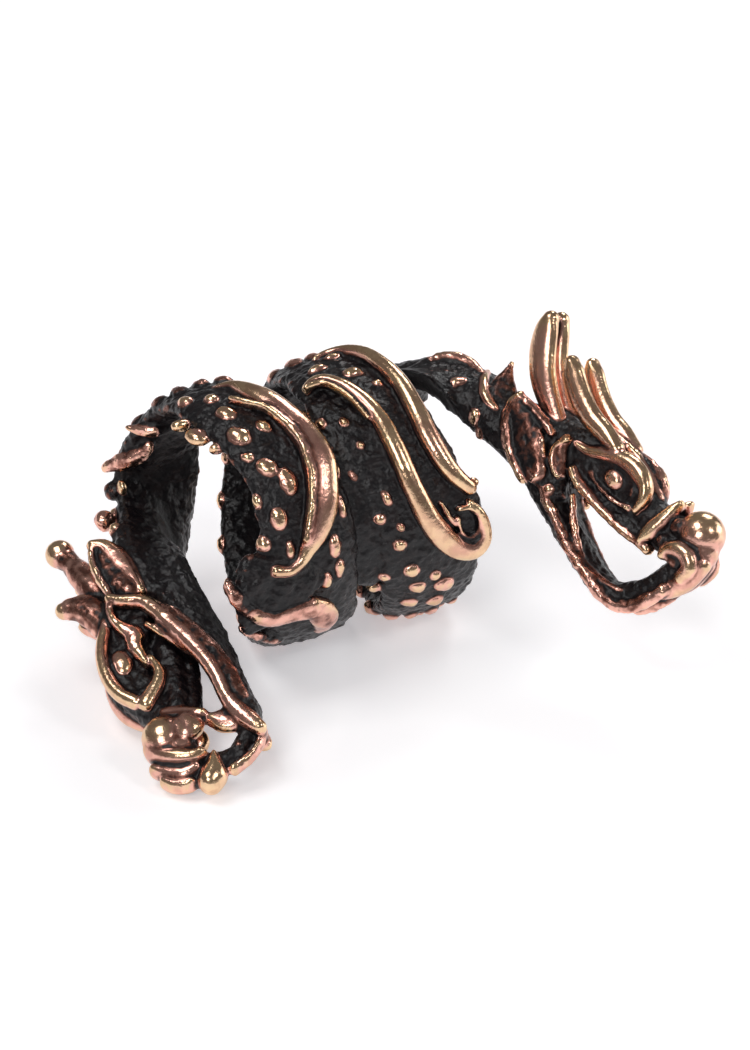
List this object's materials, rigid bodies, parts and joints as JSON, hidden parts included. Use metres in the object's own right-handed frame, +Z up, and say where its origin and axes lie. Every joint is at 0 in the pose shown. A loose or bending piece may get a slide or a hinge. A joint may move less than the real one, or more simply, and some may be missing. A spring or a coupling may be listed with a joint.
{
  "type": "beard bead",
  "caption": "Cast bronze hair bead: a scaled dragon with a head at each end coils round an open bore that a lock of beard or hair is drawn through.",
  "frame": {"origin": "on the axis of the hair bore, at the middle of the coil", "axes": "+X along the hair bore towards the raised head, +Z up as the bead lies on a table, -Y the side that both snouts point to"},
  "size_m": [0.0331, 0.0233, 0.0165],
  "materials": {
    "bronze": "blackened in the hollows, polished copper bronze on the raised edges"
  },
  "bodies": {
    "root": {"bead": "bronze"}
  },
  "joints": []
}
